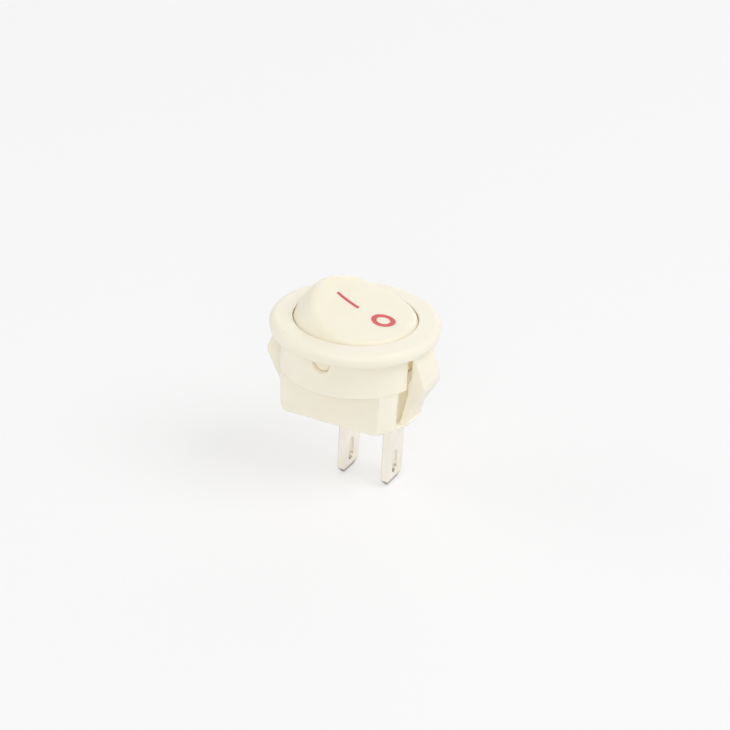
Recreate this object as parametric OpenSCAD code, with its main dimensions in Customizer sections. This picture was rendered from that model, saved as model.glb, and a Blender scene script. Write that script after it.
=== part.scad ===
// Round snap-in rocker switch, two blade tabs, off / on.
// Origin: middle of the bezel's underside, where it meets the panel. +Z points out of the panel, the rocker
// rocks about the Y axis, I lies at -X and O at +X. All sizes are in millimetres and degrees.

/* [Bezel] */
// Outer diameter of the bezel
bezel_d = 23; // [22.4:0.1:26]
// Thickness of the bezel above the panel
bezel_t = 2; // [1.6:0.1:2.3]
// Radius that rounds the bezel's outer top edge
bezel_round = 1; // [0.6:0.1:1.2]
// How far the bezel's underside tucks in below its widest line
bezel_tuck = 0.45; // [0.2:0.05:0.6]
// Radius that softens the mouth of the rocker well
mouth_round = 0.15; // [0.1:0.05:0.2]

/* [Body] */
// Diameter of the barrel that goes through the panel hole
barrel_d = 19.6; // [19.5:0.1:20.2]
// Depth of the round barrel below the panel plane
barrel_h = 5.2; // [4.8:0.1:6]
// Depth of the whole body below the panel plane
body_h = 11.4; // [11.2:0.1:13]
// Width of the lower body across its two flats
body_w = 13; // [12.4:0.1:14]
// Wall of the lower body behind its flats
wall_t = 1.2; // [0.9:0.1:1.5]
// Wall of the lower body at the wing recesses
end_wall_t = 0.9; // [0.7:0.1:1]
// Thickness of the floor
floor_t = 1.2; // [1:0.1:1.5]
// Radius that rounds the bottom edge of the body
bottom_round = 0.9; // [0.4:0.1:1]
// Draft of the lower body's round ends, in degrees
draft = 1; // [0:0.5:1.5]

/* [Snap wings] */
// Width of a snap wing
wing_w = 5; // [4:0.1:5.4]
// Distance of a wing's ridge from the middle of the switch
ridge_x = 11.75; // [11.4:0.05:12.2]
// Depth of the ridge's upper corner below the panel plane
ridge_z = 4.4; // [4:0.1:4.6]
// Height of the ridge's blunt face
ridge_h = 0.8; // [0.4:0.1:1]
// Distance of a wing's free end from the middle of the switch
wing_top_x = 10.25; // [10.1:0.05:10.5]
// Thickness of a wing at its free end
wing_top_t = 0.4; // [0.3:0.05:0.5]
// Thickness of a wing's arm near its root
wing_t = 0.75; // [0.6:0.05:0.9]
// Gap beside and above a wing
wing_gap = 0.3; // [0.2:0.05:0.4]
// Width of the recess that the wing's arm springs into
recess_w = 8.2; // [7.4:0.1:8.6]

/* [Rocker] */
// Depth of the pivot axis below the panel plane
pivot_drop = 0.84; // [0.7:0.02:1]
// Radius of the rocker's spherical skirt, centred on the pivot
rocker_r = 8.7; // [8.5:0.05:8.75]
// Running gap between the skirt and its well
rocker_gap = 0.16; // [0.14:0.01:0.25]
// Height of the lowest line of the dished top above the pivot
dish_h = 4.02; // [3.7:0.02:4.2]
// Radius of the dished top
dish_r = 17.4; // [16:0.2:24]
// Radius that rounds the rocker's rim
rim_round = 1; // [0.5:0.05:1.2]
// How far the skirt reaches below the pivot
skirt_drop = 1; // [0.8:0.05:1.2]
// Wall of the rocker's shell
shell_t = 1.2; // [1:0.1:1.4]
// Angle of the rocker to each side of its middle position
throw = 15.6; // [14:0.2:16]
// Diameter of the pivot pins
pin_d = 2.5; // [2:0.1:2.6]
// Radial clearance of a pin in its hole
pin_gap = 0.05; // [0.03:0.01:0.08]

/* [Plunger and spring] */
// Diameter of the plunger's guided shank
plunger_d = 3.1; // [2.8:0.1:3.2]
// Radius of the plunger's round nose
nose_r = 1.1; // [0.9:0.05:1.2]
// Length of the plunger's shank
shank_l = 2.2; // [1.8:0.1:2.4]
// Radial clearance of the plunger in the rocker's stem
plunger_gap = 0.06; // [0.03:0.01:0.09]
// Wall of the stem round the plunger
stem_t = 0.95; // [0.8:0.05:1.1]
// How far the stem reaches below the pivot
stem_drop = 3.6; // [3.4:0.1:3.8]
// Wire diameter of the spring
wire_d = 0.4; // [0.3:0.05:0.45]
// Number of coils of the spring
coils = 6; // [5:1:7]

/* [Contacts] */
// Height of the cradle edge above the floor
cradle_h = 2.2; // [2.1:0.05:2.5]
// Thickness of the contact arm
arm_t = 0.5; // [0.4:0.05:0.6]
// Width of the contact arm's wings
arm_w = 4.4; // [3.8:0.1:4.6]
// Length of each side of the contact arm
arm_l = 6; // [5.8:0.1:6.1]
// Rise of the arm's inner stretches, in degrees
arm_rise = 16; // [14:0.5:18]
// Tilt of the arm to each side of its middle position
arm_tilt = 8; // [7:0.5:8.5]
// Distance of the contact from the arm's pivot
contact_x = 4.9; // [4.7:0.05:5]
// Diameter of the contact rivets
contact_d = 2.2; // [1.8:0.1:2.4]
// Height of a contact rivet's head
contact_h = 0.45; // [0.35:0.05:0.5]

/* [Terminals] */
// Width of a blade tab
tab_w = 4.8; // [4.6:0.1:5]
// Thickness of a blade tab
tab_t = 0.8; // [0.7:0.05:0.85]
// Length of a tab below the body
tab_l = 9.7; // [7:0.1:11]
// Chamfer of a tab's corners
tab_chamfer = 1; // [0.6:0.1:1.2]
// Distance between the common tab and the line tab
tab_pitch = 6.6; // [6.5:0.05:6.8]
// Width of the slot in a tab
slot_w = 1.3; // [1:0.1:1.6]
// Length of the slot in a tab
slot_l = 3.4; // [2.4:0.1:4]
// Distance from a tab's tip to its slot
slot_tip = 1.4; // [1.2:0.1:2]

/* [Hidden] */
$fn = 96;

IVORY = "#f3ead6";
NATURAL = "#efece2";
STEEL = "#b9bcc0";
COPPER = "#c98a5a";
SILVER = "#d9dbdd";
TINNED = "#c6c4bd";

tiny = 0.01;                    // overlap that lets a cut run past a face
seat_gap = 0.02;                // gap between faces that only touch in use
fit_gap = 0.05;                 // clearance of a tab in its slot
moulded_t = 1;                  // thickness of the ribs inside the housing
rim_drop = 0.5;                 // step from the floor down to its rim under the wings
passage_rim = 0.45;             // width of the shallow recess round a tab's passage
passage_depth = 0.4;
wing_set = 0.05;                // softening of a wing's corners, and its face's step inside the body's edge
wing_splay = 0.4;               // how far a wing spreads over its root stretch
wing_root_l = 1.8;              // length of that stretch
ramp_rise = 0.6;                // how far the ramp has spread halfway to the ridge
bezel_r = bezel_d / 2;
barrel_r = barrel_d / 2;
well_r = rocker_r + rocker_gap;
floor_z = floor_t - body_h;     // top of the floor
slab_z = floor_z - rim_drop;    // top of the floor's rim under the wings
end_step = 0.05;                // step from the barrel in to the body's round ends
end_top_r = barrel_r - end_step;
end_r = end_top_r - (body_h - barrel_h) * tan(draft);   // radius of the body's round ends at its bottom
tip_z = -body_h - tab_l;        // tip of the tabs

// Rocker: its own frame has the pivot at the origin and the throw at its middle
skirt_r = sqrt(pow(rocker_r, 2) - pow(skirt_drop, 2));
skirt_low_z = -pivot_drop - skirt_r * sin(throw) - skirt_drop * cos(throw);
ledge_z = skirt_low_z - seat_gap;                       // stop for the skirt's edge: the floor of the well
join_z = (ledge_z - barrel_h) / 2;                      // level inside that floor where barrel and body meet
ceiling_h = dish_h - shell_t;   // underside of the dished top
ear_wall = 1.05;                // wall of an ear round its pin
ear_set = 0.3;                  // how far an ear's outer face lies inside the skirt's radius
pin_set = 0.4;                  // how far a pin stops short of the barrel's outside
pin_lead = 0.3;                 // bevel that leads a pin into its hole
ear_t = 1.5;
ear_r = pin_d / 2 + ear_wall;
ear_y = rocker_r - ear_set;
pin_end_y = barrel_r - pin_set;
rib_t = 0.9;                    // ribs that tie the stem to the skirt
rib_low = 0.8;                  // their lower edge above the pivot
bore_end_t = 0.6;               // wall over the blind end of the stem's bore
root_t = shell_t / 3;           // how far the stem and its ribs run into the top's wall
spigot_step = 0.25;             // step from the spring's bore in to the plunger's spigot
nose_taper = 0.5;               // length of the taper from the plunger's shank to its nose
coil_gap = 0.05;                // room round the spring in the bore

// Chamber for the contacts
chamber_x = tab_pitch + tab_t / 2 + fit_gap;
chamber_y = body_w / 2 - wall_t;
recess_x = chamber_x + end_wall_t;
cradle_z = floor_z + cradle_h;
pedestal_z = floor_z + moulded_t;

// Contact arm: its own frame has the cradle edge at the origin
arm_bend_x = 3.2;               // where the rising inner stretch ends
neck_x = 0.65;                  // half length of the neck between the cradle's horns
neck_w = 2.8;
arm_round = 1;                  // radius of the arm's corners
function arm_under(x) =
    min(x, arm_bend_x) * tan(arm_rise) + max(0, x - arm_bend_x) * tan(arm_tilt);
pad_z = arm_under(contact_x);
closed_x = contact_x * cos(arm_tilt) + pad_z * sin(arm_tilt);
closed_z = cradle_z - contact_x * sin(arm_tilt) + pad_z * cos(arm_tilt);
fixed_top_z = closed_z - contact_h - seat_gap;
shelf_z = fixed_top_z - contact_h;                      // top of the line terminal's shelf
shelf_margin = 0.5;             // shelf past the contact's head
shelf_end_x = closed_x - contact_d / 2 - shelf_margin;
tab_bend_r = 0.3;               // inner radius of the line terminal's bend
bend_x = tab_pitch - tab_t / 2 - tab_bend_r;            // where the bend's inner arc starts
rivet_d = 1.2;                  // shank of a contact rivet
rivet_upset = 0.15;             // height of a rivet's upset end
rivet_lip = 0.2;                // how far that end spreads past the shank
head_bevel = [0.2, 0.15];       // bevel on the rim of a rivet's head
rivet_room = 0.4;               // room round that end

// Reach of the plunger's nose from the pivot: the least that any point of the throw leaves over the arm
pivot_to_cradle = -pivot_drop - cradle_z;
function nose_room(swing, lean) =
    (pivot_to_cradle * cos(lean) - arm_t - nose_r) / cos(swing - lean);
nose_reach = min([for (s = [0 : 0.05 : 1]) nose_room(s * throw, arm_rise - s * arm_tilt)]) - seat_gap;
shank_top = nose_reach - nose_r - shank_l;
bore_top = ceiling_h - bore_end_t;
spigot_l = 0.8;

// Feet of the terminals
foot_x = 1.2;                   // reach of the common terminal's pedestal past the tab's face
foot_y = 0.7;                   // and past its edge
shoulder_w = 0.5;               // shoulder of the common terminal's head on each side
horn_h = 1.1;                   // height of the horns beside the cradle edge
notch_gap = 0.1;                // room beside the arm's neck
tab_bevel = 0.6;                // length of the bevel on a tab's faces at its tip

// ---------------------------------------------------------------- helpers

// Points on an arc about centre c, from angle a to angle b
function arc(c, r, a, b, n = 8) = [for (i = [0 : n]) c + r * [cos(a + (b - a) * i / n), sin(a + (b - a) * i / n)]];

// An outline in X and Z, made w wide along Y
module across(w) {
    translate([0, w / 2, 0]) rotate([90, 0, 0]) linear_extrude(w) children();
}

// A block centred on X and Y, from z0 up to z1
module block(x, y, z0, z1) {
    translate([-x / 2, -y / 2, z0]) cube([x, y, z1 - z0]);
}

// The rocker's frame, at rest with the O side pressed
module on_rocker(tilt = throw) {
    translate([0, 0, -pivot_drop]) rotate([0, tilt, 0]) children();
}

// The contact arm's frame, at rest with its contact raised
module on_cradle() {
    translate([0, 0, cradle_z]) rotate([0, -arm_tilt, 0]) children();
}

module both_ends() {
    children();
    mirror([1, 0, 0]) children();
}

module both_sides() {
    children();
    mirror([0, 1, 0]) children();
}

// ---------------------------------------------------------------- housing

// Bezel and barrel, with the spherical well that the rocker turns in and the well's floor
module bezel_and_barrel() {
    mouth_r = sqrt(pow(well_r, 2) - pow(bezel_t + pivot_drop, 2));
    mouth_angle = asin((bezel_t + pivot_drop - mouth_round) / well_r);
    flat_r = bezel_r - bezel_round;
    waist_z = bezel_t - bezel_round;
    rotate_extrude() polygon(concat(
        [[0, ledge_z], [0, -barrel_h], [barrel_r, -barrel_h], [barrel_r, 0]],
        [for (i = [0 : 8]) [bezel_r - bezel_tuck + bezel_tuck * sin(i * 90 / 8), waist_z * (1 - cos(i * 90 / 8))]],
        arc([flat_r, waist_z], bezel_round, 0, 90),
        arc([mouth_r + mouth_round, bezel_t - mouth_round], mouth_round, 90, 170, 4),
        arc([0, -pivot_drop], well_r, mouth_angle, 0, 10),
        [[well_r, ledge_z]]
    ));
}

// Outline of the lower body seen from above: round ends and two flats
module lower_outline() {
    intersection() {
        rotate_extrude() polygon(concat(
            [[0, join_z], [0, -body_h]],
            arc([end_r - bottom_round, bottom_round - body_h], bottom_round, -90, 0),
            [[end_top_r, -barrel_h], [well_r, join_z]]
        ));
        rotate([0, 0, 90]) across(bezel_d) flats_section();
    }
}

// The flats' section: square shoulders and lightly rounded bottom edges
module flats_section() {
    r = bottom_round / 2;
    polygon(concat(
        [[-body_w / 2, join_z + tiny]],
        arc([r - body_w / 2, r - body_h], r, 180, 270),
        arc([body_w / 2 - r, r - body_h], r, 270, 360),
        [[body_w / 2, join_z + tiny]]
    ));
}

// Side view of one snap wing: down the ramp to the ridge, back in to the root in the floor, and up the inside
module wing_profile() {
    root_x = sqrt(pow(end_r, 2) - pow(wing_w / 2, 2)) - wing_set;
    knee_x = root_x + wing_splay;
    knee_z = slab_z + wing_root_l;
    inner_x = wing_top_x - wing_top_t;
    low_z = -ridge_z - ridge_h;
    polygon([
        [inner_x, -wing_gap],
        [wing_top_x, -wing_gap],
        [wing_top_x + ramp_rise, -ridge_z / 2],
        [ridge_x - wing_set, -ridge_z],
        [ridge_x, -ridge_z - ridge_h / 2],
        [ridge_x - wing_set, low_z],
        [ridge_x - wing_splay, low_z - wing_t],
        [knee_x, knee_z],
        [root_x, slab_z],
        [root_x - rim_drop / 2, slab_z - rim_drop / 2],
        [root_x - wing_t, slab_z - rim_drop / 2],
        [root_x - wing_t, slab_z],
        [knee_x - wing_t, knee_z],
        [inner_x - wing_splay, low_z - wing_t],
        [inner_x - wing_splay, -ridge_z],
        [inner_x, -ridge_z + wing_t]
    ]);
}

// Room behind and beside one wing: a slot through the barrel's wall, a wider recess below it,
// and a shallow relief in the bezel's underside
module wing_room() {
    slot_x = skirt_r * cos(throw) - skirt_drop * sin(throw) + rocker_gap / 2;
    translate([slot_x, -wing_w / 2 - wing_gap, slab_z])
        cube([bezel_r, wing_w + 2 * wing_gap, -slab_z - wing_gap]);
    translate([recess_x, -recess_w / 2, slab_z])
        cube([bezel_r, recess_w, -slab_z - barrel_h]);
    translate([barrel_r, -wing_w / 2 - wing_gap, -wing_gap - tiny])
        cube([bezel_r, wing_w + 2 * wing_gap, 2 * wing_gap + tiny]);
}

// Slot through the floor for a tab, with a shallow recess round it underneath
module tab_passage(x) {
    translate([x, 0, 0]) {
        block(tab_t + 2 * fit_gap, tab_w + 2 * fit_gap, -body_h - tiny, pedestal_z + tiny);
        block(tab_t + 2 * passage_rim, tab_w + 2 * passage_rim, -body_h - tiny, -body_h + passage_depth);
    }
}

// Ribs on the floor: the pedestals of both terminals, the stop of the contact arm's idle end
// and the two ribs that keep the line terminal upright
module floor_ribs() {
    block(tab_t + 2 * foot_x, tab_w + 2 * foot_y, floor_z - tiny, pedestal_z);
    translate([-closed_x, 0, 0]) block(moulded_t, arm_w, floor_z - tiny, closed_z - seat_gap);
    difference() {
        translate([shelf_end_x, -tab_w / 2, floor_z - tiny])
            cube([bend_x - fit_gap - shelf_end_x, tab_w, shelf_z - tab_t - floor_z + tiny]);
        translate([closed_x, 0, floor_z]) cylinder(r = rivet_d / 2 + rivet_room, h = body_h);
    }
    both_sides() translate([chamber_x - moulded_t, tab_w / 2 + fit_gap, floor_z - tiny])
        cube([moulded_t + tiny, chamber_y - tab_w / 2 - fit_gap + tiny, cradle_h + moulded_t]);
}

module housing() {
    color(IVORY) {
        difference() {
            union() {
                difference() {
                    union() {
                        bezel_and_barrel();
                        lower_outline();
                    }
                    block(2 * chamber_x, 2 * chamber_y, floor_z, ledge_z + tiny);
                    both_ends() wing_room();
                }
                floor_ribs();
            }
            rotate([90, 0, 0]) translate([0, -pivot_drop, -barrel_r - tiny])
                cylinder(d = pin_d + 2 * pin_gap, h = 2 * barrel_r + 2 * tiny);
            tab_passage(0);
            tab_passage(tab_pitch);
        }
        both_ends() across(wing_w) wing_profile();
    }
}

// ---------------------------------------------------------------- rocker

// Height of the dished top at distance x from the pivot axis
function dish_z(x) = dish_h + dish_r - sqrt(pow(dish_r, 2) - pow(x, 2));
function dish_lean(x) = asin(x / dish_r);

// Centre of the rim's rounding, in the half plane at cosine c from the X axis, where the top is left at radius p
function rim_centre(c, p) =
    let (a = atan(tan(dish_lean(p * c)) * c))
    [p + rim_round * sin(a), dish_z(p * c) - rim_round * cos(a)];

// Radius where the top meets the rim's rounding, found by halving
function top_edge(c, lo, hi, n = 24) =
    n == 0 ? (lo + hi) / 2 :
    norm(rim_centre(c, (lo + hi) / 2)) < rocker_r - rim_round ?
        top_edge(c, (lo + hi) / 2, hi, n - 1) : top_edge(c, lo, (lo + hi) / 2, n - 1);

top_rings = 7;
rim_rings = 7;
skirt_rings = 7;
inner_rings = 5;

// One meridian of the shell: across the top, round the rim, down the skirt and up the inside
function meridian(theta) =
    let (
        c = cos(theta),
        p = top_edge(c, 0, rocker_r),
        q = rim_centre(c, p),
        top_a = 90 + atan(tan(dish_lean(p * c)) * c),
        rim_a = atan2(q[1], q[0]),
        low_a = -asin(skirt_drop / rocker_r),
        inner_r = rocker_r - shell_t,
        in_low_a = -asin(skirt_drop / inner_r),
        in_top_a = asin(ceiling_h / inner_r)
    )
    concat(
        [for (i = [1 : top_rings]) [p * i / top_rings, dish_z(p * c * i / top_rings)]],
        [for (i = [1 : rim_rings]) q + rim_round * [cos(top_a + (rim_a - top_a) * i / rim_rings),
                                                    sin(top_a + (rim_a - top_a) * i / rim_rings)]],
        [for (i = [1 : skirt_rings]) rocker_r * [cos(rim_a + (low_a - rim_a) * i / skirt_rings),
                                                 sin(rim_a + (low_a - rim_a) * i / skirt_rings)]],
        [for (i = [0 : inner_rings]) inner_r * [cos(in_low_a + (in_top_a - in_low_a) * i / inner_rings),
                                                sin(in_low_a + (in_top_a - in_low_a) * i / inner_rings)]]
    );

// The shell with its dished top, lofted through meridians all round
module rocker_shell(sides = 80) {
    rings = top_rings + rim_rings + skirt_rings + inner_rings + 1;
    points = concat(
        [for (s = [0 : sides - 1]) let (t = 360 * s / sides)
            for (m = meridian(t)) [m[0] * cos(t), m[0] * sin(t), m[1]]],
        [[0, 0, dish_h], [0, 0, ceiling_h]]
    );
    apex = sides * rings;
    polyhedron(points, concat(
        [for (s = [0 : sides - 1]) [apex, ((s + 1) % sides) * rings, s * rings]],
        [for (s = [0 : sides - 1], r = [0 : rings - 2], half = [0, 1])
            let (a = s * rings + r, b = ((s + 1) % sides) * rings + r)
            half == 0 ? [a, b, b + 1] : [a, b + 1, a + 1]],
        [for (s = [0 : sides - 1]) [apex + 1, s * rings + rings - 1, ((s + 1) % sides) * rings + rings - 1]]
    ), convexity = 6);
}

// Ear under the skirt that carries a pivot pin
module ear() {
    translate([0, ear_y, 0]) rotate([90, 0, 0]) {
        cylinder(r = ear_r, h = ear_t);
        translate([-ear_r, 0, 0]) cube([2 * ear_r, ceiling_h / 2, ear_t]);
    }
    rotate([-90, 0, 0]) {
        translate([0, 0, ear_y - ear_t / 2]) cylinder(d = pin_d, h = pin_end_y - pin_lead - ear_y + ear_t / 2);
        translate([0, 0, pin_end_y - pin_lead]) cylinder(d1 = pin_d, d2 = pin_d - 2 * pin_lead, h = pin_lead);
    }
}

module rocker() {
    bore_r = plunger_d / 2 + plunger_gap;
    color(IVORY) on_rocker() difference() {
        union() {
            rocker_shell();
            both_sides() ear();
            translate([0, 0, -stem_drop]) cylinder(r = bore_r + stem_t, h = stem_drop + ceiling_h + root_t);
            intersection() {
                for (a = [0, 90]) rotate([0, 0, a]) block(2 * rocker_r, rib_t, rib_low, ceiling_h + root_t);
                sphere(r = rocker_r - shell_t / 2);
            }
        }
        translate([0, 0, -stem_drop - tiny]) cylinder(r = bore_r, h = stem_drop + bore_top + tiny);
    }
}

// ---------------------------------------------------------------- plunger and spring

module plunger() {
    shank_r = plunger_d / 2;
    spigot_r = shank_r - wire_d - spigot_step;
    color(NATURAL) on_rocker() rotate([180, 0, 0]) rotate_extrude() polygon(concat(
        [[0, shank_top - spigot_l], [spigot_r, shank_top - spigot_l], [spigot_r, shank_top],
         [shank_r, shank_top], [shank_r, shank_top + shank_l - nose_taper]],
        [[nose_r, shank_top + shank_l]],
        arc([0, nose_reach], nose_r, 0, 90, 10)
    ));
}

// Coil spring with closed ends, between the plunger's shank and the blind end of the bore
module spring(steps = 14, sides = 8) {
    coil_r = plunger_d / 2 - wire_d / 2 - coil_gap;
    low = -shank_top + wire_d / 2;
    high = bore_top - wire_d / 2;
    turns = coils * steps;
    rise = high - low - 2 * wire_d;
    // the first and last turns lie flat, the rest climb evenly
    function climb(i) =
        let (t = i / steps)
        low + min(t, 1) * wire_d + max(0, min(t - 1, coils - 2)) * rise / (coils - 2) + max(0, t - coils + 1) * wire_d;
    function ring(i) = [for (k = [0 : sides - 1])
        let (a = 360 * i / steps, b = 360 * k / sides, r = coil_r + wire_d / 2 * cos(b))
        [r * cos(a), r * sin(a), climb(i) + wire_d / 2 * sin(b)]];
    color(STEEL) on_rocker() polyhedron(
        [for (i = [0 : turns]) for (p = ring(i)) p],
        concat(
            [[for (k = [0 : sides - 1]) k]],
            [for (i = [0 : turns - 1], k = [0 : sides - 1], half = [0, 1])
                let (a = i * sides + k, b = i * sides + (k + 1) % sides)
                half == 0 ? [a, a + sides, b + sides] : [a, b + sides, b]],
            [[for (k = [sides - 1 : -1 : 0]) turns * sides + k]]
        ), convexity = 10);
}

// ---------------------------------------------------------------- contacts

// See-saw strip: a neck over the cradle edge, two rising wings and level pads at the ends
module contact_arm() {
    under = [[-arm_l, arm_under(arm_l)], [-arm_bend_x, arm_under(arm_bend_x)], [0, 0],
             [arm_bend_x, arm_under(arm_bend_x)], [arm_l, arm_under(arm_l)]];
    color(COPPER) on_cradle() difference() {
        intersection() {
            across(arm_w) polygon(concat(under, [for (i = [4 : -1 : 0]) under[i] + lift(under, i)]));
            arm_plan();
        }
        translate([contact_x, 0, pad_z]) rotate([0, -arm_tilt, 0])
            translate([0, 0, -arm_t]) cylinder(d = rivet_d, h = 3 * arm_t);
    }
}

// Step from a point of the strip's underside to the same point of its top
function lift(p, i) =
    let (
        a = p[max(i - 1, 0)], b = p[min(i + 1, len(p) - 1)],
        n1 = normal(i == 0 ? b - p[0] : p[i] - a),
        n2 = normal(i == len(p) - 1 ? p[i] - a : b - p[i])
    )
    arm_t * (n1 + n2) / (1 + n1 * n2);
function normal(d) = [-d[1], d[0]] / norm(d);

// The strip's outline seen from above
module arm_plan() {
    r = arm_round;
    e = [arm_l - r, arm_w / 2 - r];
    right = concat(
        [[neck_x, -neck_w / 2], [neck_x, -arm_w / 2]],
        arc([e[0], -e[1]], r, -90, 0), arc(e, r, 0, 90),
        [[neck_x, arm_w / 2], [neck_x, neck_w / 2]]
    );
    translate([0, 0, -arm_l]) linear_extrude(3 * arm_l)
        polygon(concat(right, [for (p = right) [-p[0], -p[1]]]));
}

// Rivet: head below z = 0, shank up through a sheet t thick, small upset on its far side
module rivet(t) {
    mirror([0, 0, 1]) rotate_extrude() polygon([
        [0, contact_h], [contact_d / 2 - head_bevel[0], contact_h], [contact_d / 2, contact_h - head_bevel[1]],
        [contact_d / 2, 0], [rivet_d / 2, 0], [rivet_d / 2, -t],
        [rivet_d / 2 + rivet_lip, -t], [rivet_d / 2 + rivet_lip / 2, -t - rivet_upset],
        [0, -t - rivet_upset]
    ]);
}

module moving_contact() {
    color(SILVER) on_cradle() translate([contact_x, 0, pad_z]) rotate([0, -arm_tilt, 0]) rivet(arm_t);
}

module fixed_contact() {
    color(SILVER) translate([closed_x, 0, shelf_z]) mirror([0, 0, 1]) rivet(tab_t);
}

// ---------------------------------------------------------------- terminals

// Blade tab at x, with its side view given from the bevelled tip upwards: chamfered corners and a slot
module blade(x, side) {
    intersection() {
        across(tab_w) polygon(side);
        translate([x, 0, 0]) rotate([0, 0, 90]) across(2 * tab_pitch) polygon([
            [-tab_w / 2, 0], [-tab_w / 2, tip_z + tab_chamfer], [tab_chamfer - tab_w / 2, tip_z],
            [tab_w / 2 - tab_chamfer, tip_z], [tab_w / 2, tip_z + tab_chamfer], [tab_w / 2, 0]
        ]);
    }
}
function tab_tip(x) = [[x - tab_t / 2, tip_z + tab_bevel], [x - tab_t / 4, tip_z], [x + tab_t / 4, tip_z],
                       [x + tab_t / 2, tip_z + tab_bevel]];

// Slot of the tab at x
module tab_slot(x) {
    low = tip_z + slot_tip + slot_w / 2;
    high = low + slot_l - slot_w;
    translate([x, 0, 0]) {
        for (z = [low, high]) translate([0, 0, z]) rotate([0, 90, 0])
            cylinder(d = slot_w, h = tab_t + 2 * tiny, center = true);
        block(tab_t + 2 * tiny, slot_w, low, high);
    }
}

// Middle tab. Its head has shoulders on the pedestal and a notch with a round edge that carries the arm
module common_terminal() {
    notch_w = neck_w + 2 * notch_gap;
    color(TINNED) {
        difference() {
            union() {
                blade(0, concat(tab_tip(0), [[tab_t / 2, pedestal_z], [-tab_t / 2, pedestal_z]]));
                block(tab_t, tab_w + 2 * shoulder_w, pedestal_z, cradle_z + horn_h);
            }
            tab_slot(0);
            block(2 * tab_t, notch_w, cradle_z - tab_t / 2, cradle_z + 2 * horn_h);
        }
        translate([0, 0, cradle_z - tab_t / 2]) rotate([90, 0, 0])
            cylinder(d = tab_t, h = notch_w + tiny, center = true);
    }
}

// Tab near the O side. Its head bends over into a shelf for the fixed contact
module line_terminal() {
    bend = [bend_x, shelf_z - tab_t - tab_bend_r];
    color(TINNED) difference() {
        blade(tab_pitch, concat(
            tab_tip(tab_pitch),
            arc(bend, tab_t + tab_bend_r, 0, 90),
            [[shelf_end_x, shelf_z], [shelf_end_x, shelf_z - tab_t]],
            arc(bend, tab_bend_r, 90, 0)
        ));
        tab_slot(tab_pitch);
        translate([closed_x, 0, shelf_z - 2 * tab_t]) cylinder(d = rivet_d, h = 3 * tab_t);
    }
}

housing();
rocker();
plunger();
spring();
contact_arm();
moving_contact();
common_terminal();
line_terminal();
fixed_contact();
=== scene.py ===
"""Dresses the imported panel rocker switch: materials, printed marks, floor, light and camera."""
import math

import bmesh
import bpy
from mathutils import Matrix, Vector


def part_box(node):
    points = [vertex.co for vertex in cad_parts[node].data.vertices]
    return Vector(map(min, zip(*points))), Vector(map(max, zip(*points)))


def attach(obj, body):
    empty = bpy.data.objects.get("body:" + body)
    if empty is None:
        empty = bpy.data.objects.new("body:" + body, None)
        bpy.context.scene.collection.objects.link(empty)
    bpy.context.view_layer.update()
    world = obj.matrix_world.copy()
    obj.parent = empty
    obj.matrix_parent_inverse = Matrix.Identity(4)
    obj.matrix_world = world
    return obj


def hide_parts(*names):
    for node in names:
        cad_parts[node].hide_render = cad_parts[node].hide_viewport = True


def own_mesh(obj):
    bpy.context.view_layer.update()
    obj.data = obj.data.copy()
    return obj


MM = 0.001

# Camera, as the object's own frame sees it
CAMERA_YAW = 25.445        # degrees round +Z from the front
CAMERA_RISE = 27.749       # degrees above the panel plane
CAMERA_ROLL = 3.219        # degrees about the line of sight
CAMERA_DISTANCE = 361.0 * MM
CAMERA_AIM = (1.33 * MM, -4.69 * MM)   # where it aims, right and up of the origin as it sees them
CAMERA_LENS = 133.6        # in mm, as is the sensor
CAMERA_SENSOR = 36

# Soft square lamps: name, degrees round +Z from the front, degrees up, watts
LAMPS = (
    ("key", 100, 52, 3.1),
    ("front", 25, 28, 1.8),
    ("left", -70, 20, 1.6),
    ("back", 190, 20, 0.9),
)
LAMP_DISTANCE = 0.9
LAMP_SIZE = 0.6

# Room and table
ROOM_LIGHT = 0.48          # strength of the even light on the object
ROOM_SEEN = 0.95           # strength with which the room itself is seen
TABLE_SIDE = 12.0
TABLE_GLOW = 0.57          # how bright the table looks by itself
TABLE_SHARE = 0.4          # how much of it takes light and shadow
BOUNCES = 48               # enough for light to find its way into the narrow gaps

# Rocker, the same values as the solids
PIVOT_Z = -0.84 * MM
THROW = 15.6
DISH_H = 4.02 * MM
DISH_R = 17.4 * MM
BORE_TOP = 2.22 * MM       # blind end of the plunger's bore, above the pivot in the rocker's own frame

# Spring between the bore's end and the plunger's shank
SHANK_TOP = 2.098 * MM     # below the pivot in the rocker's own frame
WIRE_D = 0.4 * MM
COIL_R = 1.3 * MM
COILS = 6

# Marks on the rocker's top
INK_T = 0.03 * MM
STROKE_X = (-4.33 * MM, -0.84 * MM)
STROKE_W = 0.52 * MM
STROKE_Y = 0.15 * MM
STROKE_CORNER = 0.08 * MM
RING_X = 3.04 * MM
RING_R = 1.62 * MM
RING_LINE = 0.7 * MM

# Patterns of the surfaces, in lumps per metre
PLASTIC_CLOUDS = 260
PLASTIC_FLOW = 900
PLASTIC_GLOSS = 700
ORANGE_PEEL = 1600
PLASTIC_GRAIN = 14000
METAL_CLOUDS = 300
METAL_STREAKS = 1800
INK_PATCHES = 5200
INK_GLOSS = 8000


def linear(r, g, b):
    """A colour given as it looks on a screen, 0 to 255, as Blender's linear values."""
    def one(v):
        v /= 255
        return v / 12.92 if v <= 0.04045 else ((v + 0.055) / 1.055) ** 2.4
    return (one(r), one(g), one(b), 1)


def grey(v):
    return (v, v, v, 1)


# ---------------------------------------------------------------- materials

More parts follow.
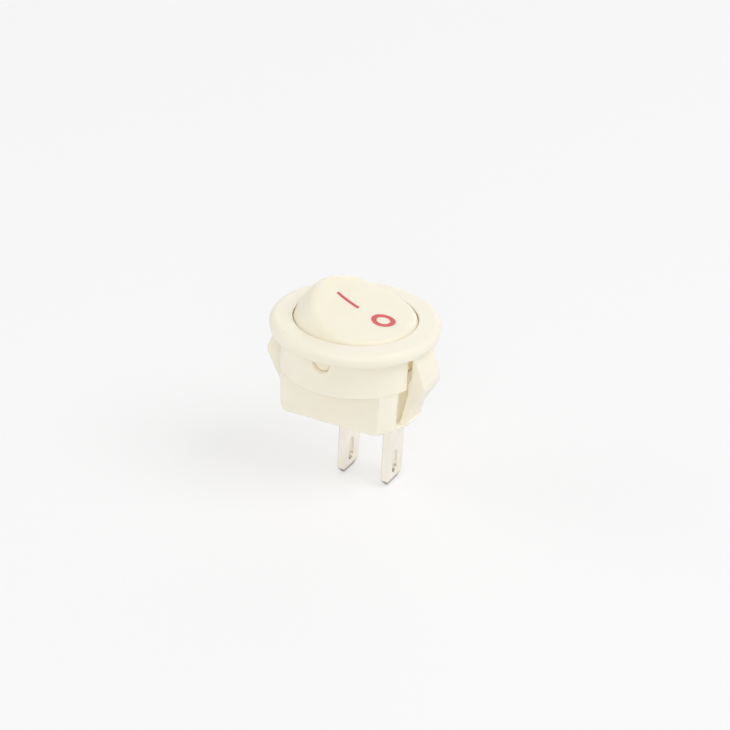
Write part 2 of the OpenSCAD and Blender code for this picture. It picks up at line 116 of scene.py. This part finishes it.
class Nodes:
    """A new material with short ways to add nodes and to fill their sockets."""

    def __init__(self, name):
        self.material = bpy.data.materials.new(name)
        self.material.use_nodes = True
        self.tree = self.material.node_tree
        self.shader = self.tree.nodes["Principled BSDF"]
        self.place = self.add("ShaderNodeTexCoord").outputs["Object"]

    def add(self, kind, **values):
        node = self.tree.nodes.new(kind)
        for name, value in values.items():
            setattr(node, name, value)
        return node

    def fill(self, socket, value):
        """A link where the value comes out of another node, else a constant."""
        if isinstance(value, bpy.types.NodeSocket):
            self.tree.links.new(value, socket)
        else:
            socket.default_value = value

    def set(self, **values):
        """Values of the shader's sockets, with _ for the spaces in their names."""
        for name, value in values.items():
            self.fill(self.shader.inputs[name.replace("_", " ")], value)

    def noise(self, scale, detail=2, rough=0.5, stretch=None):
        """Noise in the row frame with scale lumps to the metre, or stretch times as many along X, Y and Z."""
        place = self.place
        if stretch is not None:
            mapping = self.add("ShaderNodeMapping")
            self.fill(mapping.inputs["Scale"], stretch)
            self.fill(mapping.inputs["Vector"], place)
            place = mapping.outputs["Vector"]
        node = self.add("ShaderNodeTexNoise")
        self.fill(node.inputs["Scale"], scale)
        self.fill(node.inputs["Detail"], detail)
        self.fill(node.inputs["Roughness"], rough)
        self.fill(node.inputs["Vector"], place)
        return node.outputs["Fac"]

    def span(self, value, low, high, start=0.3, end=0.7):
        """Low up to where the value is at start, high from where it is at end, and even between them."""
        node = self.add("ShaderNodeMapRange")
        self.fill(node.inputs["Value"], value)
        for name, v in (("From Min", start), ("From Max", end), ("To Min", low), ("To Max", high)):
            self.fill(node.inputs[name], v)
        return node.outputs["Result"]

    def mix(self, factor, a, b):
        node = self.add("ShaderNodeMix", data_type="RGBA")
        for name, v in (("Factor", factor), ("A", a), ("B", b)):
            self.fill(node.inputs[name], v)
        return node.outputs["Result"]

    def math(self, operation, a, b):
        node = self.add("ShaderNodeMath", operation=operation)
        self.fill(node.inputs[0], a)
        self.fill(node.inputs[1], b)
        return node.outputs["Value"]

    def bump(self, height, distance, strength, normal=None):
        node = self.add("ShaderNodeBump")
        self.fill(node.inputs["Distance"], distance)
        self.fill(node.inputs["Strength"], strength)
        self.fill(node.inputs["Height"], height)
        if normal is not None:
            self.fill(node.inputs["Normal"], normal)
        return node.outputs["Normal"]

    def soft_edges(self, radius):
        node = self.add("ShaderNodeBevel", samples=6)
        self.fill(node.inputs["Radius"], radius)
        return node.outputs["Normal"]

    def burr(self, radius):
        """1 along the edges that face -X, on the side where the punch broke out, else 0."""
        soft = self.soft_edges(radius)
        turn = self.add("ShaderNodeVectorMath", operation="DOT_PRODUCT")
        self.fill(turn.inputs[0], soft)
        self.fill(turn.inputs[1], self.add("ShaderNodeNewGeometry").outputs["Normal"])
        parts = self.add("ShaderNodeSeparateXYZ")
        self.fill(parts.inputs[0], soft)
        on_edge = self.span(turn.outputs["Value"], 1, 0, 0.85, 0.995)
        on_side = self.span(parts.outputs["X"], 1, 0, -0.3, -0.05)
        return self.math("MULTIPLY", on_edge, on_side)

    def crevices(self, distance, shut, clear):
        """1 where at most shut of the sky is free within the distance, 0 where at least clear of it is."""
        node = self.add("ShaderNodeAmbientOcclusion", samples=8)
        self.fill(node.inputs["Distance"], distance)
        return self.span(node.outputs["AO"], 1, 0, shut, clear)


def moulded_plastic(name, light, deep, painted_crevice_light, rough, edge):
    """Moulded nylon: slightly cloudy colour, fine moulded grain, light that soaks in a little.

    Where it is shut in, its colour is painted light: a set colour that stands in for the light that comes
    through the walls there."""
    m = Nodes(name)
    cloud = m.noise(PLASTIC_CLOUDS, detail=3)
    flow = m.noise(PLASTIC_FLOW, stretch=(1, 1, 0.25))
    colour = m.mix(m.span(cloud, 0, 1), deep, light)
    colour = m.mix(m.span(flow, 0, 0.12), colour, deep)
    # Painted light: shut-in places get a set colour in place of the light that comes through the walls.
    colour = m.mix(m.crevices(6 * MM, shut=0.22, clear=0.44), colour, painted_crevice_light)
    normal = m.soft_edges(edge)
    normal = m.bump(m.noise(ORANGE_PEEL, detail=1), 0.006 * MM, 0.25, normal)
    normal = m.bump(m.noise(PLASTIC_GRAIN, rough=0.6), 0.0006 * MM, 0.3, normal)
    m.set(
        Base_Color=colour,
        Roughness=m.span(m.noise(PLASTIC_GLOSS), rough - 0.02, rough + 0.03),
        IOR=1.5,
        Specular_IOR_Level=0.3,
        Subsurface_Weight=0.5,
        Subsurface_Radius=(1.0, 1.0, 1.0),
        Subsurface_Scale=0.6 * MM,
        Normal=normal,
    )
    return m.material


def plated_metal(name, bright, dull, burr_and_shade_colour, rough, edge):
    """Rolled and plated sheet: fine streaks along Z, cloudy plating, edges where the cut metal shows, and
    painted shade that darkens it where it is shut in.
    """
    m = Nodes(name)
    streak = m.noise(METAL_STREAKS, stretch=(1, 1, 0.08))
    cloud = m.noise(METAL_CLOUDS)
    colour = m.mix(m.span(cloud, 0, 0.6), bright, dull)
    colour = m.mix(m.span(streak, 0, 0.3), colour, dull)
    # Dark cut edges, and painted shade: where it is shut in, as in slots and under the housing, it takes the
    # dark colour.
    burr_and_painted_shade = m.math("MAXIMUM", m.burr(edge), m.crevices(1.2 * MM, shut=0.4, clear=0.9))
    m.set(
        Base_Color=m.mix(burr_and_painted_shade, colour, burr_and_shade_colour),
        Metallic=1.0,
        Roughness=m.span(cloud, rough - 0.03, rough + 0.04),
        Normal=m.bump(streak, 0.002 * MM, 0.3, m.soft_edges(edge)),
    )
    return m.material


def ink(name, colour, thin):
    """Pad-printed ink: a little uneven in strength."""
    m = Nodes(name)
    patch = m.noise(INK_PATCHES, detail=3, rough=0.7)
    m.set(
        Base_Color=m.mix(m.span(patch, 0, 0.35), colour, thin),
        Roughness=m.span(m.noise(INK_GLOSS), 0.35, 0.5),
        Normal=m.bump(patch, 0.003 * MM, 0.4),
    )
    return m.material


def seen(tree):
    """1 for what the camera sees, straight, in metal or through glass, else 0."""
    path = tree.nodes.new("ShaderNodeLightPath")
    value = path.outputs["Is Camera Ray"]
    for name in ("Is Glossy Ray", "Is Transmission Ray"):
        most = tree.nodes.new("ShaderNodeMath")
        most.operation = "MAXIMUM"
        tree.links.new(value, most.inputs[0])
        tree.links.new(path.outputs[name], most.inputs[1])
        value = most.outputs["Value"]
    return value


def bright_table(name, glow, share):
    """Floor: a white lit table. As seen, it glows by itself, and only a share of it takes light and shadow.

    The object gets its light as from matt white paint, and from below the table isn't there."""
    m = Nodes(name)
    m.set(Base_Color=grey(0.9), Roughness=0.9)
    lit = m.add("ShaderNodeBsdfDiffuse")
    m.fill(lit.inputs["Color"], grey(share))
    light = m.add("ShaderNodeEmission")
    m.fill(light.inputs["Color"], grey(glow))
    both = m.add("ShaderNodeAddShader")
    m.fill(both.inputs[0], lit.outputs[0])
    m.fill(both.inputs[1], light.outputs[0])

    def pick(factor, a, b):
        node = m.add("ShaderNodeMixShader")
        for socket, v in zip(node.inputs, (factor, a, b)):
            m.fill(socket, v)
        return node.outputs[0]

    top = pick(seen(m.tree), m.shader.outputs[0], both.outputs[0])
    below = m.add("ShaderNodeNewGeometry").outputs["Backfacing"]
    nothing = m.add("ShaderNodeBsdfTransparent").outputs[0]
    m.fill(m.tree.nodes["Material Output"].inputs["Surface"], pick(below, top, nothing))
    return m.material


def dress(node, material):
    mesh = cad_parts[node].data
    mesh.materials.clear()
    mesh.materials.append(material)


# ---------------------------------------------------------------- added pieces

def piece(name, mesh, material):
    """An object in the scene that shows a finished mesh."""
    mesh.materials.append(material)
    obj = bpy.data.objects.new(name, mesh)
    bpy.context.scene.collection.objects.link(obj)
    return obj


def closed_mesh(name, bm):
    """The mesh of a closed bmesh, with its faces turned outwards."""
    bmesh.ops.recalc_face_normals(bm, faces=bm.faces)
    mesh = bpy.data.meshes.new(name)
    bm.to_mesh(mesh)
    bm.free()
    return mesh


def rocker_frame():
    """From the rocker's own frame, pivot at its origin and throw at its middle, to the row frame at rest."""
    return Matrix.Translation((0, 0, PIVOT_Z)) @ Matrix.Rotation(math.radians(THROW), 4, "Y")


def dish_z(x):
    return DISH_H + DISH_R - math.sqrt(DISH_R ** 2 - x ** 2)


def printed(name, outline, inner, material):
    """A thin film of ink on the dished top, between an outline and an inner one.

    The inner one may have shrunk to a line, so that the film has no opening."""
    bm = bmesh.new()
    is_ring = len(set(y for x, y in inner)) > 1
    place = rocker_frame()
    layers = []
    for lift in (INK_T, -INK_T):
        loops = [[bm.verts.new(place @ Vector((x, y, dish_z(x) + lift))) for x, y in loop]
                 for loop in (outline, inner)]
        layers.append(loops)
    count = len(outline)
    (top_out, top_in), (low_out, low_in) = layers
    for i in range(count):
        k = (i + 1) % count
        bm.faces.new((top_out[i], top_out[k], top_in[k], top_in[i]))
        bm.faces.new((low_out[k], low_out[i], low_in[i], low_in[k]))
        bm.faces.new((top_out[k], top_out[i], low_out[i], low_out[k]))
        if is_ring:
            bm.faces.new((top_in[i], top_in[k], low_in[k], low_in[i]))
    bmesh.ops.remove_doubles(bm, verts=bm.verts, dist=0.0001 * MM)
    obj = piece(name, closed_mesh(name, bm), material)
    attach(obj, "rocker")
    return obj


def circle(cx, r, n=96):
    turn = 2 * math.pi / n
    return [(cx + r * math.cos(turn * i), r * math.sin(turn * i)) for i in range(n)]


def stroke(x0, x1, w, shrink, n=24, corner_steps=4):
    """A bar with small round corners, its long sides cut into n, brought in by shrink."""
    x0, x1, h = x0 + shrink, x1 - shrink, w / 2 - shrink
    corner = max(STROKE_CORNER - shrink, 0)
    points = []
    for cx, cy, a in ((x1 - corner, h - corner, 0), (x0 + corner, h - corner, 90),
                      (x0 + corner, corner - h, 180), (x1 - corner, corner - h, 270)):
        for i in range(corner_steps + 1):
            t = math.radians(a + 90 * i / corner_steps)
            points.append((cx + corner * math.cos(t), cy + corner * math.sin(t)))
        if a in (0, 180):
            step = (x0 + corner - cx if a == 0 else x1 - corner - cx) / n
            points += [(cx + step * i, math.copysign(h, cy)) for i in range(1, n)]
    return [(x, y + STROKE_Y) for x, y in points]


def coil_spring(name, material, steps=28, sides=12):
    """The plunger's spring as a round wire whose end turns lie flat."""
    low, high = WIRE_D / 2 - SHANK_TOP, BORE_TOP - WIRE_D / 2
    pitch = (high - low - 2 * WIRE_D) / (COILS - 2)

    def height(turn):
        return (low + min(turn, 1) * WIRE_D + max(0, min(turn - 1, COILS - 2)) * pitch
                + max(0, turn - COILS + 1) * WIRE_D)

    place = rocker_frame()
    bm = bmesh.new()
    rings = []
    for i in range(COILS * steps + 1):
        a, z = 2 * math.pi * i / steps, height(i / steps)
        rings.append([])
        for k in range(sides):
            b = 2 * math.pi * k / sides
            r = COIL_R + WIRE_D / 2 * math.cos(b)
            point = Vector((r * math.cos(a), r * math.sin(a), z + WIRE_D / 2 * math.sin(b)))
            rings[-1].append(bm.verts.new(place @ point))
    for one, two in zip(rings, rings[1:]):
        for k in range(sides):
            bm.faces.new((one[k], one[(k + 1) % sides], two[(k + 1) % sides], two[k]))
    bm.faces.new(rings[0])
    bm.faces.new(rings[-1])
    obj = piece(name, closed_mesh(name, bm), material)
    obj.data.shade_smooth()
    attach(obj, "rocker")
    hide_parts("spring")
    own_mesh(obj)
    return obj


# ---------------------------------------------------------------- stage, lights, camera

def table(name, z, material):
    half = TABLE_SIDE / 2
    corners = [(x, y, z) for x, y in ((-half, -half), (half, -half), (half, half), (-half, half))]
    mesh = bpy.data.meshes.new(name)
    mesh.from_pydata(corners, [], [(0, 1, 2, 3)])
    return piece(name, mesh, material)


def lamp(name, azimuth, rise, power):
    """A soft square lamp that looks at the object from an azimuth and height, in degrees."""
    data = bpy.data.lights.new(name, "AREA")
    data.shape = "SQUARE"
    data.size = LAMP_SIZE
    data.energy = power
    obj = bpy.data.objects.new(name, data)
    a, e = math.radians(azimuth), math.radians(rise)
    back = Vector((math.sin(a) * math.cos(e), -math.cos(a) * math.cos(e), math.sin(e)))
    obj.location = back * LAMP_DISTANCE
    obj.rotation_mode = "QUATERNION"
    obj.rotation_quaternion = (-back).to_track_quat("-Z", "Y")
    bpy.context.scene.collection.objects.link(obj)


def room(light, backdrop):
    """An even white room: its light on the object, and how bright it is seen, straight or in metal."""
    world = bpy.data.worlds.new("studio")
    bpy.context.scene.world = world
    world.use_nodes = True
    tree = world.node_tree
    background = tree.nodes["Background"]
    background.inputs["Color"].default_value = grey(1)
    span = tree.nodes.new("ShaderNodeMapRange")
    span.inputs["To Min"].default_value = light
    span.inputs["To Max"].default_value = backdrop
    tree.links.new(seen(tree), span.inputs["Value"])
    tree.links.new(span.outputs["Result"], background.inputs["Strength"])


def camera():
    yaw, rise, roll = (math.radians(v) for v in (CAMERA_YAW, CAMERA_RISE, CAMERA_ROLL))
    right = Vector((math.cos(yaw), math.sin(yaw), 0))
    back = Vector((math.sin(yaw) * math.cos(rise), -math.cos(yaw) * math.cos(rise), math.sin(rise)))
    up = back.cross(right)
    right, up = right * math.cos(roll) + up * math.sin(roll), up * math.cos(roll) - right * math.sin(roll)
    data = bpy.data.cameras.new("camera")
    data.lens = CAMERA_LENS
    data.sensor_width = CAMERA_SENSOR
    data.clip_start, data.clip_end = 0.01, 20
    obj = bpy.data.objects.new("camera", data)
    turn = Matrix((right, up, back)).transposed().to_4x4()
    spot = back * CAMERA_DISTANCE + right * CAMERA_AIM[0] + up * CAMERA_AIM[1]
    obj.matrix_world = Matrix.Translation(spot) @ turn
    bpy.context.scene.collection.objects.link(obj)
    bpy.context.scene.camera = obj


# ---------------------------------------------------------------- the object

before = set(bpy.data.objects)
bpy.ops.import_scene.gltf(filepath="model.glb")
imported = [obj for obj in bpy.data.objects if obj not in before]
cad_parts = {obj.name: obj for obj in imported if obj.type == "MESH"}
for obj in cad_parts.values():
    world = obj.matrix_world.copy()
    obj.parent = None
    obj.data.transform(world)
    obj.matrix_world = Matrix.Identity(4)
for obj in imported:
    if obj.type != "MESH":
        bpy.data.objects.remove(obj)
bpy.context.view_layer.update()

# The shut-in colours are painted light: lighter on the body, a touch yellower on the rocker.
dress("housing", moulded_plastic(
    "ivory_body", light=linear(253, 245, 229), deep=linear(252, 242, 223), painted_crevice_light=linear(255, 254, 247),
    rough=0.34, edge=0.12 * MM))
dress("rocker", moulded_plastic(
    "ivory_rocker", light=linear(253, 244, 225), deep=linear(252, 241, 219), painted_crevice_light=linear(251, 242, 217),
    rough=0.3, edge=0.1 * MM))
dress("plunger", moulded_plastic(
    "natural_acetal", light=linear(240, 238, 230), deep=linear(232, 229, 218), painted_crevice_light=linear(232, 229, 218),
    rough=0.4, edge=0.05 * MM))

coil_spring("coil_spring", plated_metal(
    "spring_wire", bright=linear(190, 192, 196), dull=linear(160, 162, 166), burr_and_shade_colour=linear(140, 142, 146),
    rough=0.25, edge=0.02 * MM))
dress("contact_arm", plated_metal(
    "copper_strip", bright=linear(222, 158, 120), dull=linear(190, 124, 90), burr_and_shade_colour=linear(150, 92, 64),
    rough=0.3, edge=0.05 * MM))
silver = plated_metal(
    "silver", bright=linear(236, 236, 234), dull=linear(212, 211, 207), burr_and_shade_colour=linear(190, 188, 182),
    rough=0.22, edge=0.04 * MM)
# Its dark brown is both the cut edges and the painted shade in its slots and under the housing.
tinned = plated_metal(
    "tinned_brass", bright=linear(250, 245, 236), dull=linear(238, 230, 214), burr_and_shade_colour=linear(84, 60, 32),
    rough=0.22, edge=0.09 * MM)
for contact in ("moving_contact", "fixed_contact"):
    dress(contact, silver)
for terminal in ("common_terminal", "line_terminal"):
    dress(terminal, tinned)

red = ink("red_ink", linear(214, 66, 74), linear(228, 104, 104))
printed("mark_on", stroke(*STROKE_X, STROKE_W, 0), stroke(*STROKE_X, STROKE_W, STROKE_W / 2), red)
printed("mark_off", circle(RING_X, RING_R), circle(RING_X, RING_R - RING_LINE), red)

# ---------------------------------------------------------------- the stage

floor_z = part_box("common_terminal")[0].z
floor = table("floor", floor_z, bright_table("lit_table", TABLE_GLOW, TABLE_SHARE))

room(ROOM_LIGHT, ROOM_SEEN)
for name, azimuth, rise, power in LAMPS:
    lamp(name, azimuth, rise, power)
camera()

bpy.context.scene.view_settings.view_transform = "Standard"
bpy.context.scene.cycles.max_bounces = BOUNCES
bpy.context.scene.cycles.diffuse_bounces = BOUNCES
